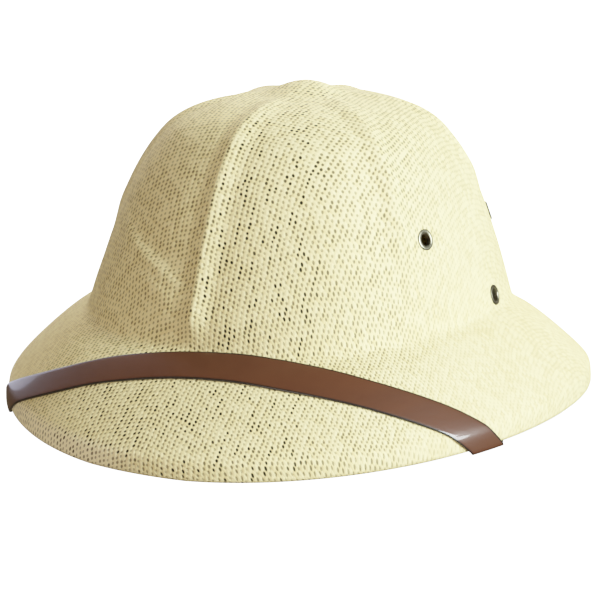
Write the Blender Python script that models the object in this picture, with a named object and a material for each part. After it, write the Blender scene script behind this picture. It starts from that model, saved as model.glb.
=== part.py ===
"""Sun helmet of woven paper straw with a leather chin strap laid over its brim.

The wearer looks along -Y and +X is the wearer's left. The hat rests on the front and back of its brim's edge,
at height 0. Angles run round the hat from the front, over +X, to the back. Lengths are in metres.

The wall is described by its section: the line from the brim's edge up to the top of the crown, at any angle.
A place on the wall is an angle and a distance along that line, measured up from the brim's edge.
"""
import functools
import math

import bmesh
import bpy
from mathutils import Vector

# Straw body: plan of the crown's base and of the brim's edge, outside
CROWN_HALF_WIDTH = 0.101
CROWN_FRONT_REACH = 0.1064
CROWN_BACK_REACH = 0.111
CROWN_OVAL_POWER = 2.38
BRIM_HALF_WIDTH = 0.1444
BRIM_FRONT_REACH = 0.1548
BRIM_BACK_REACH = 0.1616
BRIM_OVAL_POWER = 2.05

# Straw body: heights above the surface that the hat rests on
DOME_HEIGHT = 0.1553
BASE_HEIGHT_SIDE = 0.0541
BASE_HEIGHT_FRONT = 0.0476
BASE_HEIGHT_BACK = 0.0412
EDGE_HEIGHT_SIDE = 0.0097
WALL = 0.002

# The brim's edge rises to the sides by this power of the sine of its angle. The share of the rise is
# levelled, so that the front and back edges rest flat.
EDGE_RISE_POWER = 1.6
REST_SHARE = 0.06

# The crown leans back: how far it goes back for each metre above the height where it starts
LEAN_START_HEIGHT = 0.045
LEAN_SLOPE = 0.042

# Low round peak in the middle of the crown's top
PEAK_HEIGHT = 0.0063
PEAK_REACH = 0.0256

# Section of the crown. Each row pulls a round curve, as a share of the crown's reach and height.
CROWN_SECTION = (
    # out, up, rows of faces on its curve
    (0.000, 1.000, 0),
    (0.250, 1.008, 3),
    (0.575, 0.913, 4),
    (0.726, 0.735, 4),
    (0.836, 0.515, 3),
    (0.946, 0.191, 2),
    (0.990, 0.035, 1),
    (1.000, 0.000, 3),
)
# Section of the brim, as a share of its overhang and of its drop below the crown's base. Its edge is turned
# straight down.
BRIM_SECTION = (
    # out, down, rows of faces on its curve
    (0.050, 0.045, 1),
    (0.300, 0.185, 2),
    (0.650, 0.467, 1),
    (0.950, 0.738, 2),
    (1.000, 0.820, 2),
    (1.000, 1.000, 0),
)

# Ribs pressed into the crown, which die away towards its middle from the reach where they are whole
RIB_HEIGHT = 0.0025
RIB_HALF_WIDTH = 0.010
RIB_WHOLE_REACH = 0.070
RIBS = (
    # angle in degrees, share of the rib height, share of the crown's height where it starts and is whole
    (0, 1.0, 0.00, 0.15),
    (60, 0.9, 0.30, 0.50),
    (120, 0.9, 0.45, 0.65),
    (180, 1.0, 0.00, 0.15),
    (240, 0.9, 0.45, 0.65),
    (300, 0.9, 0.30, 0.50),
)

# Folds pressed into the front of the crown beside the front rib: sharp above, fading below
FOLD_HEIGHT = 0.0012
FOLD_SHARP_WIDTH = 0.003
FOLD_FADING_WIDTH = 0.014
FOLDS = (
    # start angle in degrees, start height share, end angle, end height share, share of the fold height
    (-46, 0.44, -6, 0.27, 1.0),
    (-38, 0.33, -9, 0.20, 0.7),
)

# Gap between pieces that touch
CLEARANCE = 0.0004

# Metal eyelets through the crown. The low one on each side also holds an end of the strap.
EYELET_HOLE_RADIUS = 0.0032
EYELET_BARREL_RADIUS = 0.0037
EYELET_FLANGE_RADIUS = 0.0051
EYELET_FLANGE_RISE = 0.0009
EYELET_SEAT_GAP = 0.0005
EYELETS = (
    # place, angle in degrees, share of the crown's height, holds the strap
    ("front", 70, 0.414, False),
    ("low", 101.8, 0.058, True),
    ("back", 128, 0.41, False),
)
SIDES = (("left", 1), ("right", -1))

# Leather strap. Its tail is what lies past the eyelet that holds it, and its base bend is half the length
# over which it bends at the crown's base.
STRAP_WIDTH = 0.015
STRAP_THICKNESS = 0.0012
STRAP_TAIL = 0.009
STRAP_BASE_BEND = 0.003
# High on the brim the strap lies flat across the hollow at the crown's base, so it takes more of the section
# than its width. This starts and is whole at these shares of the brim's section.
STRAP_BRIDGING_EXTRA = 0.18
STRAP_BRIDGING_START = 0.60
STRAP_BRIDGING_WHOLE = 0.90
# The middle of its route over the brim, from the right eyelet to the left one, which end it.
# The share is of the brim's section: 0 at the edge, above 0 on top and below 0 underneath.
STRAP_ROUTE = (
    # angle in degrees, share of the brim's section
    (-78, -0.58),
    (-54, -0.13),
    (-34, 0.35),
    (-13, 0.8),
    (10, 0.93),
    (31, 0.81),
    (49, 0.535),
    (64, 0.16),
    (80, -0.65),
)

# How finely the round shapes are divided
PANEL_STEPS = 13
PANEL_CROWDING = 0.45
SECTION_STEPS = 12
EYELET_SEGMENTS = 14
ROUTE_STEPS = 8
STRAP_STEPS_ON_TOP = 32
STRAP_STEPS_AT_BEND = 4
STRAP_STEPS_BELOW = 8
STRAP_STEPS_AT_ANCHOR = 3
# Rings of the strap over the bend of the turned-down edge, by distance up from the edge
STRAP_RIM_DISTANCES = (0.003, 0.006, 0.008, 0.0095, 0.011, 0.0135)

# The middle of the hat's length is at y = 0
CENTRE_Y = (BRIM_FRONT_REACH - BRIM_BACK_REACH) / 2

# The strap bends round the brim's edge on a half circle. Its half length is taken along the strap's middle.
EDGE_TURN_RADIUS = WALL / 2 + CLEARANCE + STRAP_THICKNESS / 2
EDGE_TURN_HALF = math.pi * EDGE_TURN_RADIUS / 2


def oval_reach(angle, half_width, front_reach, back_reach, power):
    """Distance from the middle to an oval with a front and a back reach of its own."""
    reach = front_reach if math.cos(angle) > 0 else back_reach
    across = abs(math.sin(angle) / half_width) ** power
    along = abs(math.cos(angle) / reach) ** power
    return (across + along) ** (-1 / power)


def base_height(angle):
    """Height of the crown's base, which dips towards the front and the back."""
    end_height = BASE_HEIGHT_FRONT if math.cos(angle) > 0 else BASE_HEIGHT_BACK
    return BASE_HEIGHT_SIDE + (end_height - BASE_HEIGHT_SIDE) * math.cos(angle) ** 2


def edge_height(angle):
    """Height of the brim's edge, which is level at the front and back and rises to the sides."""
    rise = (abs(math.sin(angle)) ** EDGE_RISE_POWER - REST_SHARE) / (1 - REST_SHARE)
    return EDGE_HEIGHT_SIDE * max(rise, 0)


def crown_share(angle, height):
    """Share of the crown's height above its base."""
    base = base_height(angle)
    return (height - base) / (DOME_HEIGHT - base)


def smooth_step(value, start, whole):
    """Rise from 0 at start to 1 at whole, with round ends."""
    share = min(max((value - start) / (whole - start), 0), 1)
    return share * share * (3 - 2 * share)


def round_bump(distance, half_width):
    """Height share of a round bump at a distance from its middle."""
    if abs(distance) >= half_width:
        return 0
    return (1 + math.cos(math.pi * distance / half_width)) / 2


def rib_height(angle, reach, up):
    """How far the nearest rib lifts the wall."""
    height = 0
    for rib_angle, share, start, whole in RIBS:
        turn = angle - math.radians(rib_angle)
        beside = abs(reach * math.sin(turn)) if math.cos(turn) > 0 else reach
        rise = share * round_bump(beside, RIB_HALF_WIDTH) * smooth_step(up, start, whole)
        height = max(height, rise)
    return RIB_HEIGHT * height * smooth_step(reach, 0, RIB_WHOLE_REACH)


def fold_height(angle, up):
    """How far the folds beside the front rib lift the wall."""
    height = 0
    turn = (math.degrees(angle) + 180) % 360 - 180
    for start_angle, start_up, end_angle, end_up, share in FOLDS:
        along = (turn - start_angle) / (end_angle - start_angle)
        if not 0 < along < 1:
            continue
        crown_height = DOME_HEIGHT - base_height(angle)
        run = math.radians(end_angle - start_angle) * CROWN_FRONT_REACH
        rise = (end_up - start_up) * crown_height
        above = (up - start_up - along * (end_up - start_up)) * crown_height * run / math.hypot(run, rise)
        width = FOLD_SHARP_WIDTH if above > 0 else FOLD_FADING_WIDTH
        height += share * round_bump(above, width) * math.sin(math.pi * along)
    return FOLD_HEIGHT * height


def smooth_curve(corners, steps):
    """Round curve that starts and ends on the outer corners and is pulled by those between them."""
    points = [corners[0]]
    last = len(corners) - 1
    for index in range(1, last):
        before = corners[0] if index == 1 else (corners[index - 1] + corners[index]) / 2
        after = corners[last] if index == last - 1 else (corners[index] + corners[index + 1]) / 2
        for step in range(1, steps + 1):
            share = step / steps
            start = before.lerp(corners[index], share)
            end = corners[index].lerp(after, share)
            points.append(start.lerp(end, share))
    return points


def section_normal(line, index):
    """Outward direction, in the plane of the section, at a point of a line that runs up from the edge."""
    before = line[max(index - 1, 0)]
    after = line[min(index + 1, len(line) - 1)]
    along = (after - before).normalized()
    return Vector((along.y, -along.x))


@functools.lru_cache(maxsize=None)
def section_line(angle):
    """Outer line of the wall at an angle, as (reach, height) points from the brim's edge to the top."""
    base = base_height(angle)
    crown = oval_reach(angle, CROWN_HALF_WIDTH, CROWN_FRONT_REACH, CROWN_BACK_REACH, CROWN_OVAL_POWER)
    brim = oval_reach(angle, BRIM_HALF_WIDTH, BRIM_FRONT_REACH, BRIM_BACK_REACH, BRIM_OVAL_POWER)
    corners = [Vector((crown * out, base + (DOME_HEIGHT - base) * up)) for out, up, _ in CROWN_SECTION]
    for out, down, _ in BRIM_SECTION:
        corners.append(Vector((crown + (brim - crown) * out, base + (edge_height(angle) - base) * down)))
    line = smooth_curve(corners[::-1], SECTION_STEPS)
    top = len(line) - 1
    raised = []
    for index, point in enumerate(line):
        up = crown_share(angle, point.y)
        lift = rib_height(angle, point.x, up) + fold_height(angle, up)
        lift += PEAK_HEIGHT * round_bump(point.x, PEAK_REACH)
        normal = Vector((0, 1)) if index == top else section_normal(line, index)
        raised.append(point + normal * lift)
    return tuple(raised)


@functools.lru_cache(maxsize=None)
def distances(angle):
    """Distance from the brim's edge to each point of the section line."""
    line = section_line(angle)
    total = [0.0]
    for before, after in zip(line, line[1:]):
        total.append(total[-1] + (after - before).length)
    return tuple(total)


def distance_at_height(angle, height):
    """Distance along the section from the brim's edge up to a height."""
    line = section_line(angle)
    total = distances(angle)
    for index in range(1, len(line)):
        if line[index].y >= height:
            share = (height - line[index - 1].y) / (line[index].y - line[index - 1].y)
            return total[index - 1] + share * (total[index] - total[index - 1])
    return total[-1]


def brim_length(angle):
    """Length of the brim's section, from its edge to the crown's base."""
    return distance_at_height(angle, base_height(angle))


def in_space(angle, reach, height):
    """Point in space of a (reach, height) point of the section at an angle."""
    lean = LEAN_SLOPE * max(height - LEAN_START_HEIGHT, 0)
    return Vector((reach * math.sin(angle), CENTRE_Y + lean - reach * math.cos(angle), height))


def wall_point(angle, distance, lift):
    """Point on the wall, moved outwards by lift, at a distance up from the brim's edge."""
    line = section_line(angle)
    total = distances(angle)
    index = 1
    while index < len(line) - 1 and total[index] < distance:
        index += 1
    share = (distance - total[index - 1]) / (total[index] - total[index - 1])
    place = line[index - 1].lerp(line[index], share)
    normal = section_normal(line, index - 1).lerp(section_normal(line, index), share).normalized()
    place += normal * lift
    return in_space(angle, place.x, place.y)


def wall_normal(angle, distance):
    """Outward direction of the wall in space."""
    step = 0.001
    turn = 0.01
    up = wall_point(angle, distance + step, 0) - wall_point(angle, distance - step, 0)
    around = wall_point(angle + turn, distance, 0) - wall_point(angle - turn, distance, 0)
    return around.cross(up).normalized()


def make_material(name, color, roughness, metallic=0.0):
    """Principled material with a plain colour."""
    material = bpy.data.materials.new(name)
    material.use_nodes = True
    shader = material.node_tree.nodes["Principled BSDF"]
    shader.inputs["Base Color"].default_value = (*color, 1)
    shader.inputs["Roughness"].default_value = roughness
    shader.inputs["Metallic"].default_value = metallic
    return material


def object_from(name, shape, material=None):
    """Object made from a bmesh, shaded smooth except at sharp edges."""
    bmesh.ops.recalc_face_normals(shape, faces=shape.faces)
    mesh = bpy.data.meshes.new(name)
    shape.to_mesh(mesh)
    shape.free()
    mesh.shade_smooth()
    mesh.set_sharp_from_angle(angle=math.radians(40))
    if material:
        mesh.materials.append(material)
    piece = bpy.data.objects.new(name, mesh)
    bpy.context.collection.objects.link(piece)
    return piece


def join_rings(shape, rings, closed=False):
    """Faces between each ring of corners and the next, all round."""
    pairs = list(zip(rings, rings[1:]))
    if closed:
        pairs.append((rings[-1], rings[0]))
    for ring, other in pairs:
        for index in range(len(ring)):
            following = (index + 1) % len(ring)
            shape.faces.new((ring[index], ring[following], other[following], other[index]))


def column_angles():
    """Angles of the mesh's columns, closer together beside each rib."""
    panel = 2 * math.pi / len(RIBS)
    angles = []
    for rib in range(len(RIBS)):
        for step in range(PANEL_STEPS):
            share = step / PANEL_STEPS
            share -= PANEL_CROWDING * math.sin(2 * math.pi * share) / (2 * math.pi)
            angles.append(panel * (rib + share))
    return angles


def row_indexes():
    """Which points of the section line carry a row of the mesh, from the edge up, without the top."""
    indexes = [0]
    sections = (CROWN_SECTION + BRIM_SECTION)[::-1]
    for _, _, rows in sections:
        for _ in range(rows):
            indexes.append(indexes[-1] + SECTION_STEPS // rows)
    return indexes[:-1]


def wall_column(angle):
    """One column of the wall: up its outside and down its inside, without the two points at the top."""
    line = section_line(angle)
    rows = row_indexes()
    outside = [in_space(angle, line[index].x, line[index].y) for index in rows]
    inside = [in_space(angle, line[0].x - WALL, line[0].y)]
    for index in rows[1:]:
        point = line[index] - section_normal(line, index) * WALL
        inside.append(in_space(angle, point.x, point.y))
    return inside[::-1] + outside


def make_straw_body(material):
    """Crown and brim as one moulded wall, open below."""
    shape = bmesh.new()
    columns = [wall_column(angle) for angle in column_angles()]
    rings = []
    for index in range(len(columns[0])):
        rings.append([shape.verts.new(column[index]) for column in columns])
    join_rings(shape, rings)
    top = in_space(0, 0, DOME_HEIGHT + PEAK_HEIGHT)
    for ring, peak in ((rings[0], top - Vector((0, 0, WALL))), (rings[-1], top)):
        peak_corner = shape.verts.new(peak)
        for index in range(len(ring)):
            shape.faces.new((ring[index], ring[(index + 1) % len(ring)], peak_corner))
    return object_from("straw_body", shape, material)


def turned(profile, segments):
    """Ring-shaped body turned from a closed (radius, height) profile about the Z axis."""
    shape = bmesh.new()
    rings = []
    for index in range(segments):
        angle = 2 * math.pi * index / segments
        rings.append([shape.verts.new((r * math.cos(angle), r * math.sin(angle), z)) for r, z in profile])
    join_rings(shape, rings, closed=True)
    return shape


def eyelet_profile(grip):
    """Profile of an eyelet that clamps a stack as thick as grip, with its outer seat at height 0."""
    lip = EYELET_FLANGE_RADIUS - EYELET_HOLE_RADIUS
    seat = EYELET_SEAT_GAP
    inner_seat = -grip - EYELET_SEAT_GAP
    return (
        (EYELET_HOLE_RADIUS, seat + 0.45 * EYELET_FLANGE_RISE),
        (EYELET_HOLE_RADIUS + 0.30 * lip, seat + EYELET_FLANGE_RISE),
        (EYELET_HOLE_RADIUS + 0.72 * lip, seat + 0.75 * EYELET_FLANGE_RISE),
        (EYELET_FLANGE_RADIUS, seat),
        (EYELET_BARREL_RADIUS, seat),
        (EYELET_BARREL_RADIUS, inner_seat),
        (EYELET_FLANGE_RADIUS, inner_seat),
        (EYELET_FLANGE_RADIUS, inner_seat - EYELET_FLANGE_RISE / 2),
        (EYELET_HOLE_RADIUS, inner_seat - EYELET_FLANGE_RISE / 2),
    )


def eyelet_place(angle_deg, up, side):
    """Angle, distance up the wall, and outward direction of an eyelet on one side of the hat."""
    angle = side * math.radians(angle_deg)
    base = base_height(angle)
    distance = distance_at_height(angle, base + up * (DOME_HEIGHT - base))
    return angle, distance, wall_normal(angle, distance)


def make_eyelets(material):
    """Eyelets of both sides, each through the wall and the low ones through the strap's end too."""
    for place, angle_deg, up, holds_strap in EYELETS:
        grip = WALL + (CLEARANCE + STRAP_THICKNESS if holds_strap else 0)
        for side_name, side in SIDES:
            shape = turned(eyelet_profile(grip), EYELET_SEGMENTS)
            eyelet = object_from(f"eyelet_{side_name}_{place}", shape, material)
            angle, distance, normal = eyelet_place(angle_deg, up, side)
            eyelet.location = wall_point(angle, distance, 0)
            eyelet.rotation_euler = normal.to_track_quat("Z", "Y").to_euler()


def make_hole_cutter():
    """Cylinders that cut the eyelets' holes through the wall and the strap's ends."""
    shape = bmesh.new()
    depth = 4 * (WALL + CLEARANCE + STRAP_THICKNESS)
    for _, angle_deg, up, _ in EYELETS:
        for _, side in SIDES:
            angle, distance, normal = eyelet_place(angle_deg, up, side)
            turn = normal.to_track_quat("Z", "Y").to_matrix().to_4x4()
            turn.translation = wall_point(angle, distance, 0)
            radius = EYELET_BARREL_RADIUS + CLEARANCE
            bmesh.ops.create_cone(
                shape, cap_ends=True, segments=EYELET_SEGMENTS,
                radius1=radius, radius2=radius, depth=depth, matrix=turn,
            )
    cutter = object_from("eyelet_hole_cutter", shape)
    cutter.hide_render = True
    cutter.display_type = "WIRE"
    return cutter


def cut_holes(piece, cutter):
    """Cut the eyelets' holes in a piece."""
    holes = piece.modifiers.new("eyelet_holes", "BOOLEAN")
    holes.operation = "DIFFERENCE"
    holes.solver = "EXACT"
    holes.object = cutter


def strap_point(angle, travel, lift):
    """Point on the strap at a travel of 0 under the brim's edge, above 0 on top and below 0 inside.

    Lift is the height above the wall, on whichever side of it the strap lies.
    """
    if travel > EDGE_TURN_HALF:
        return wall_point(angle, travel - EDGE_TURN_HALF, lift)
    if travel < -EDGE_TURN_HALF:
        return wall_point(angle, -travel - EDGE_TURN_HALF, -WALL - lift)
    line = section_line(angle)
    bend = math.pi / 2 * (1 - travel / EDGE_TURN_HALF)
    radius = WALL / 2 + lift
    normal = section_normal(line, 0)
    down = Vector((normal.y, -normal.x))
    middle = line[0] - Vector((WALL / 2, 0))
    place = middle + (normal * math.cos(bend) + down * math.sin(bend)) * radius
    return in_space(angle, place.x, place.y)


def brim_travel(angle):
    """Travel from the middle of the strap's bend round the brim's edge up to the crown's base."""
    return brim_length(angle) + EDGE_TURN_HALF


def strap_route():
    """Middle of the strap as (angle, travel) points from the right low eyelet to the left one."""
    anchors = {}
    for _, angle_deg, up, holds_strap in EYELETS:
        if holds_strap:
            for _, side in SIDES:
                angle, distance, _ = eyelet_place(angle_deg, up, side)
                anchors[side] = Vector((angle, -distance - EDGE_TURN_HALF))
    corners = [anchors[-1]]
    for angle_deg, share in STRAP_ROUTE:
        angle = math.radians(angle_deg)
        corners.append(Vector((angle, share * brim_travel(angle))))
    corners.append(anchors[1])
    route = smooth_curve(corners, ROUTE_STEPS)
    for end, inner in ((0, 1), (-1, -2)):
        leg = strap_leg(route[inner], route[end])
        tail = route[end] + (route[end] - route[inner]) * STRAP_TAIL / leg.length
        route.insert(0 if end == 0 else len(route), tail)
    return route


def strap_leg(start, end):
    """True lengths, round the hat and along its section, of a short step of the route."""
    middle = strap_point((start.x + end.x) / 2, (start.y + end.y) / 2, 0)
    reach = math.hypot(middle.x, middle.y - CENTRE_Y)
    return Vector(((end.x - start.x) * reach, end.y - start.y))


def strap_border(route, side):
    """One long side of the strap, half its width beside the route."""
    border = []
    for index, point in enumerate(route):
        before = route[max(index - 1, 0)]
        after = route[min(index + 1, len(route) - 1)]
        leg = strap_leg(before, after)
        reach = leg.x / (after.x - before.x)
        share = point.y / brim_travel(point.x)
        bridging = smooth_step(share, STRAP_BRIDGING_START, STRAP_BRIDGING_WHOLE)
        half_width = STRAP_WIDTH / 2 * (1 + STRAP_BRIDGING_EXTRA * bridging)
        across = Vector((-leg.y, leg.x)).normalized() * side * half_width
        border.append(Vector((point.x + across.x / reach, point.y + across.y)))
    return border


def crossing(values, level, from_end):
    """Place, as a running number, where a row of values first rises past a level, seen from one end."""
    last = len(values) - 1
    if from_end:
        return last - crossing(values[::-1], level, False)
    for index in range(last):
        if values[index] <= level < values[index + 1]:
            return index + (level - values[index]) / (values[index + 1] - values[index])
    raise ValueError("the strap does not cross the brim's edge or the crown's base")


def spread(start, end, steps):
    """Numbers from start to end, both included."""
    return [start + (end - start) * step / steps for step in range(steps + 1)]


def strap_stations(border):
    """Points along a border, of which those round the two bends of the wall lie level on both borders."""
    edge_travels = [point.y for point in border]
    base_travels = [point.y + brim_travel(point.x) for point in border]
    edge_levels = spread(-EDGE_TURN_HALF, EDGE_TURN_HALF, STRAP_STEPS_AT_BEND)
    edge_levels += [EDGE_TURN_HALF + distance for distance in STRAP_RIM_DISTANCES]
    base_levels = spread(-STRAP_BASE_BEND, STRAP_BASE_BEND, STRAP_STEPS_AT_BEND)
    ends = []
    for from_end in (False, True):
        base_bend = [crossing(base_travels, level, from_end) for level in base_levels]
        edge_bend = [crossing(edge_travels, level, from_end) for level in edge_levels]
        end = len(border) - 1 if from_end else 0
        anchor = spread(end, base_bend[0], STRAP_STEPS_AT_ANCHOR)
        below = spread(base_bend[-1], edge_bend[0], STRAP_STEPS_BELOW)
        ends.append(anchor[:-1] + base_bend + below[1:-1] + edge_bend)
    top = spread(ends[0][-1], ends[1][-1], STRAP_STEPS_ON_TOP)
    points = []
    for place in ends[0] + top[1:-1] + ends[1][::-1]:
        index = min(int(place), len(border) - 2)
        points.append(border[index].lerp(border[index + 1], place - index))
    return points


def strap_layer(low, high, lift):
    """Three corners across one face of the strap, flat where the wall is hollow under it."""
    corners = [strap_point(point.x, point.y, lift) for point in (low, (low + high) / 2, high)]
    flat = (corners[0] + corners[2]) / 2
    middle = (low + high) / 2
    outward = strap_point(middle.x, middle.y, lift + STRAP_THICKNESS) - corners[1]
    if (flat - corners[1]).dot(outward) > 0:
        corners[1] = flat
    return corners


def make_chin_strap(material):
    """Flat strap over the front of the brim, round its edge and up inside the crown to the low eyelets."""
    route = strap_route()
    lower = strap_stations(strap_border(route, -1))
    upper = strap_stations(strap_border(route, 1))
    shape = bmesh.new()
    rings = []
    for low, high in zip(lower, upper):
        near = strap_layer(low, high, CLEARANCE)
        far = strap_layer(low, high, CLEARANCE + STRAP_THICKNESS)
        rings.append([shape.verts.new(corner) for corner in near + far[::-1]])
    join_rings(shape, rings)
    shape.faces.new(rings[0])
    shape.faces.new(rings[-1])
    return object_from("chin_strap", shape, material)


def main():
    """Model the hat."""
    for leftover in list(bpy.data.objects):
        bpy.data.objects.remove(leftover, do_unlink=True)
    straw = make_material("paper_straw", (0.78, 0.69, 0.47), 0.8)
    leather = make_material("brown_leather", (0.17, 0.055, 0.03), 0.35)
    brass = make_material("plated_brass", (0.55, 0.53, 0.44), 0.35, 1.0)
    body = make_straw_body(straw)
    strap = make_chin_strap(leather)
    cutter = make_hole_cutter()
    cut_holes(body, cutter)
    cut_holes(strap, cutter)
    make_eyelets(brass)


main()
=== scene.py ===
"""Looks of a sun helmet of woven paper straw with a leather chin strap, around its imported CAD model.

The wearer looks along -Y and +X is the wearer's left. Angles run round the hat from the front, over +X, to
the back. A place on the wall is an angle and a distance along its section, measured up from the brim's edge.
The shape formulas follow those of the CAD source, with finer steps and crisper ribs and folds.
"""
import math
from functools import partial

import bmesh
import bpy
from bpy.props import FloatProperty, FloatVectorProperty, PointerProperty
from bpy.types import Node, NodeSocket, Operator, Panel, PropertyGroup
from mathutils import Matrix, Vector, noise


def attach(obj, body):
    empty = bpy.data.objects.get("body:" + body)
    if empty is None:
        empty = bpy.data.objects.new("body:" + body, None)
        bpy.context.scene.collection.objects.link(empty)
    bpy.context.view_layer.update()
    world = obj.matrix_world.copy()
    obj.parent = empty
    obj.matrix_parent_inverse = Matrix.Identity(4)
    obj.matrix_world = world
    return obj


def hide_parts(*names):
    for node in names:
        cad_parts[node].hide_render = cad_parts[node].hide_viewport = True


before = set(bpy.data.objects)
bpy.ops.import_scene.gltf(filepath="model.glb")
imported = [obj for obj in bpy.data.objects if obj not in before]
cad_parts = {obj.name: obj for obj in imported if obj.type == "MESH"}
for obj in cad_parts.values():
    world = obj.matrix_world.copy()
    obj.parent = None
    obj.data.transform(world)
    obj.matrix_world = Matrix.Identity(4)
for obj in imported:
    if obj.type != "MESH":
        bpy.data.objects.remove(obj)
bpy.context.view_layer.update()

bl_info = {
    "name": "Straw Sun Helmet",
    "version": (1, 0, 0),
    "blender": (4, 5, 0),
    "location": "View3D > Sidebar > Sun Helmet",
    "description": "Makes the pieces, finishes and stage of a straw sun helmet",
    "category": "Object",
}


def linear(code, alpha=None):
    """Linear colour of an sRGB hex code, as the shaders want it."""
    parts = [int(code[index:index + 2], 16) / 255 for index in (1, 3, 5)]
    parts = [part / 12.92 if part <= 0.04045 else ((part + 0.055) / 1.055) ** 2.4 for part in parts]
    return tuple(parts) if alpha is None else (*parts, alpha)


def length_property(name, description, default):
    """Property of a length in metres."""
    return FloatProperty(
        name=name, description=description, default=default, min=0, unit="LENGTH", precision=5,
    )


def colour_property(name, description, code):
    """Property of a colour, with its default as an sRGB hex code."""
    return FloatVectorProperty(
        name=name, description=description, default=linear(code), size=3, min=0, max=1, subtype="COLOR",
    )


class StrawSettings(PropertyGroup):
    """Sizes and colours of the straw body."""

    crown_half_width: length_property("Crown half width", "Half the width of the crown's base", 0.101)
    crown_front_reach: length_property("Crown front reach", "From the middle to the crown's front", 0.1064)
    crown_back_reach: length_property("Crown back reach", "From the middle to the crown's back", 0.111)
    brim_half_width: length_property("Brim half width", "Half the width of the brim's edge", 0.1444)
    brim_front_reach: length_property("Brim front reach", "From the middle to the brim's front", 0.1548)
    brim_back_reach: length_property("Brim back reach", "From the middle to the brim's back", 0.1616)
    dome_height: length_property("Dome height", "Height of the crown's top without its peak", 0.1553)
    base_height_side: length_property("Base height, side", "Height of the crown's base at the sides", 0.0541)
    base_height_front: length_property("Base height, front", "Height of the crown's base in front", 0.0476)
    base_height_back: length_property("Base height, back", "Height of the crown's base behind", 0.0412)
    edge_height_side: length_property("Edge height, side", "Height of the brim's edge at the sides", 0.0097)
    peak_height: length_property("Peak height", "Height of the low peak on the crown's top", 0.0063)
    peak_reach: length_property("Peak reach", "Radius of the low peak", 0.0256)
    wall: length_property("Wall", "Thickness of the moulded straw", 0.002)
    rib_height: length_property("Rib height", "How far the crown's ribs stand out", 0.0025)
    rib_half_width: length_property("Rib half width", "Half the width of a rib", 0.010)
    rib_whole_reach: length_property("Rib whole reach", "Reach where the ribs get their full height", 0.070)
    fold_height: length_property("Fold height", "How far the folds beside the front rib stand out", 0.0012)
    warp_pitch: length_property("Warp pitch", "Spacing of the threads that run from front to back", 0.00245)
    weft_pitch: length_property("Weft pitch", "Spacing of the threads that run from side to side", 0.00210)
    thread_relief: length_property("Thread relief", "How far the threads stand out of their gaps", 0.00028)
    pale_thread: colour_property("Pale thread", "Colour of the lightest threads", "#F4E9B2")
    deep_thread: colour_property("Deep thread", "Colour of the darkest threads", "#DECD90")
    # Painted shade: the dark hollow seen through the open holes
    hole: colour_property("Hole", "Colour of the dark hollow that the open holes show", "#2A2712")
    # Painted light on the turned-down band at the brim's edge
    band: colour_property("Band", "Colour of the paler band at the brim's edge", "#FFF6CA")
    rim: colour_property("Rim", "Colour of the darkened cut edge", "#8F8455")


class StrapSettings(PropertyGroup):
    """Sizes and colours of the chin strap."""

    width: length_property("Width", "Width of the strap", 0.015)
    thickness: length_property("Thickness", "Thickness of the leather", 0.0012)
    tail: length_property("Tail", "Length past the eyelet that holds each end", 0.009)
    base_bend: length_property("Base bend", "Half the length of the bend at the crown's base", 0.003)
    edge_radius: length_property("Edge radius", "Rounding of the strap's long edges", 0.0004)
    leather: colour_property("Leather", "Colour of the finished leather", "#5B3622")
    dark_leather: colour_property("Dark leather", "Colour of the darker clouds in it", "#4C2B19")
    # Edges darkened by burnishing and by painted shade of the cut sides
    burnished_and_shaded: colour_property("Burnished edge", "Colour of the burnished edges", "#150C08")


class EyeletSettings(PropertyGroup):
    """Sizes and colours of the eyelets."""

    hole_radius: length_property("Hole radius", "Radius of an eyelet's hole", 0.0032)
    barrel_radius: length_property("Barrel radius", "Radius of an eyelet's barrel", 0.0037)
    flange_radius: length_property("Flange radius", "Radius of an eyelet's flange", 0.0051)
    flange_rise: length_property("Flange rise", "Height of an eyelet's flange above its seat", 0.0006)
    seat_gap: length_property("Seat gap", "Gap between an eyelet and the curved wall", 0.00005)
    plating: colour_property("Plating", "Colour of the dulled nickel plating", "#A29E89")
    # Painted shade of the dark outline round the flange
    painted_outline_shade: colour_property("Outline_shade", "Colour of the grime round the flange", "#4A4634")


class StageSettings(PropertyGroup):
    """Camera, floor and lights."""

    azimuth: FloatProperty(
        name="Azimuth", description="Camera's turn round the hat from its front", default=math.radians(29.8),
        subtype="ANGLE",
    )
    elevation: FloatProperty(
        name="Elevation", description="Camera's angle above the floor", default=math.radians(13.95),
        subtype="ANGLE",
    )
    distance: length_property("Distance", "From the camera to the hat's middle", 1.210)
    aim_height: length_property("Aim height", "Height of the point that the camera looks at", 0.0492)
    aim_right: FloatProperty(
        name="Aim right", description="How far to the right of the hat's middle the camera looks",
        default=-0.00055, unit="LENGTH", precision=5,
    )
    lens: FloatProperty(name="Lens", description="Focal length in millimetres", default=142.35, min=1)
    floor: colour_property("Floor", "Colour of the floor", "#F7F7F5")
    shade_radius: length_property("Shade radius", "Radius of the dark ground under the hat", 0.135)


# How the pieces follow the CAD model
CROWN_OVAL_POWER = 2.38
BRIM_OVAL_POWER = 2.05
EDGE_RISE_POWER = 1.6
REST_SHARE = 0.06
LEAN_START_HEIGHT = 0.045
LEAN_SLOPE = 0.042
CLEARANCE = 0.0001

# Section of the crown: share of its reach, share of its height
CROWN_SECTION = (
    (0.000, 1.000), (0.250, 1.008), (0.575, 0.913), (0.726, 0.735),
    (0.836, 0.515), (0.946, 0.191), (0.990, 0.035), (1.000, 0.000),
)
# Section of the brim: share of its overhang, share of its drop below the crown's base
BRIM_SECTION = (
    (0.050, 0.045), (0.300, 0.185), (0.650, 0.467), (0.950, 0.738), (1.000, 0.820), (1.000, 1.000),
)
# In front its crease lies lower: what is added there to each row, and the angle's cosine where that starts
FRONT_CREASE = ((0, 0), (0, 0), (0, 0), (0.020, 0.037), (0, 0.050), (0, 0))
FRONT_START_COSINE = 0.20
FRONT_WHOLE_COSINE = 0.50

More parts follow.
